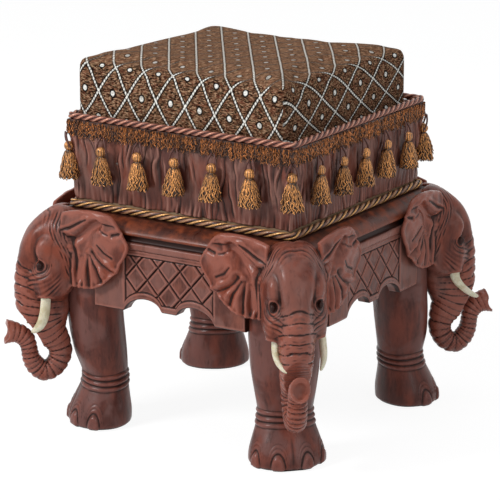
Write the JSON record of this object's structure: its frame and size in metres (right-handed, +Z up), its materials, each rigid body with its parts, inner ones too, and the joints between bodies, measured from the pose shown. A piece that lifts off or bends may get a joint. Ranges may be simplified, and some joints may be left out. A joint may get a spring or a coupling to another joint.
{
  "type": "upholstered footstool",
  "caption": "Square upholstered footstool with a lift-out brocade cushion in a pleated, tasselled box on carved elephant legs joined by latticed aprons.",
  "frame": {"origin": "on the floor under the middle of the footstool", "axes": "+Z up; -Y is the front, the wide side to the left in the picture; +X is the side to its right"},
  "size_m": [0.453, 0.453, 0.452],
  "materials": {
    "carved_wood": "satin mahogany stain with dark crevices",
    "pleated_wall": "satin mahogany stain over modelled pleats",
    "frieze_wood": "polished red mahogany",
    "frame_wood": "plain sawn",
    "dowel_wood": "plain turned",
    "rope_trim": "moulded rope, brown with antique gold",
    "fringe_trim": "moulded fringe, antique gold wash",
    "gilt_trim": "moulded tassels, antique gold wash",
    "tusk": "satin ivory colour",
    "brocade": "dark brown brocade with a pale lattice",
    "foam": "soft filling",
    "dust_cloth": "black dust cloth",
    "steel": "zinc plated",
    "glide": "dark felt-faced pad"
  },
  "bodies": {
    "stool": {"leg_front_right": "carved_wood", "head_front_right": "carved_wood", "trunk_front_right": "carved_wood", "tusk_front_right_left": "tusk", "ear_front_right_left": "carved_wood", "tusk_front_right_right": "tusk", "ear_front_right_right": "carved_wood", "leg_front_left": "carved_wood", "head_front_left": "carved_wood", "trunk_front_left": "carved_wood", "tusk_front_left_left": "tusk", "ear_front_left_left": "carved_wood", "tusk_front_left_right": "tusk", "ear_front_left_right": "carved_wood", "leg_back_left": "carved_wood", "head_back_left": "carved_wood", "trunk_back_left": "carved_wood", "tusk_back_left_left": "tusk", "ear_back_left_left": "carved_wood", "tusk_back_left_right": "tusk", "ear_back_left_right": "carved_wood", "leg_back_right": "carved_wood", "head_back_right": "carved_wood", "trunk_back_right": "carved_wood", "tusk_back_right_left": "tusk", "ear_back_right_left": "carved_wood", "tusk_back_right_right": "tusk", "ear_back_right_right": "carved_wood", "apron_front": "carved_wood", "wall_front": "pleated_wall", "tassels_front": "gilt_trim", "apron_right": "carved_wood", "wall_right": "pleated_wall", "tassels_right": "gilt_trim", "apron_back": "carved_wood", "wall_back": "pleated_wall", "tassels_back": "gilt_trim", "apron_left": "carved_wood", "wall_left": "pleated_wall", "tassels_left": "gilt_trim", "tassels_corners": "gilt_trim", "base_moulding": "carved_wood", "frieze": "frieze_wood", "deck_board": "frame_wood", "corner_posts": "frame_wood", "seat_battens": "frame_wood", "lower_rope": "rope_trim", "upper_rope": "rope_trim", "fringe": "fringe_trim", "dust_cover": "dust_cloth", "apron_dowels": "dowel_wood", "head_dowels": "dowel_wood", "batten_screws": "steel", "deck_screws": "steel", "foot_glides": "glide"},
    "seat": {"seat_cover": "brocade", "seat_foam": "foam", "seat_board": "frame_wood"}
  },
  "joints": [
    {"name": "seat_lift", "type": "slide", "parent": "stool", "child": "seat", "axis": [0, 0, 1], "range_m": [0, 0.12]}
  ]
}
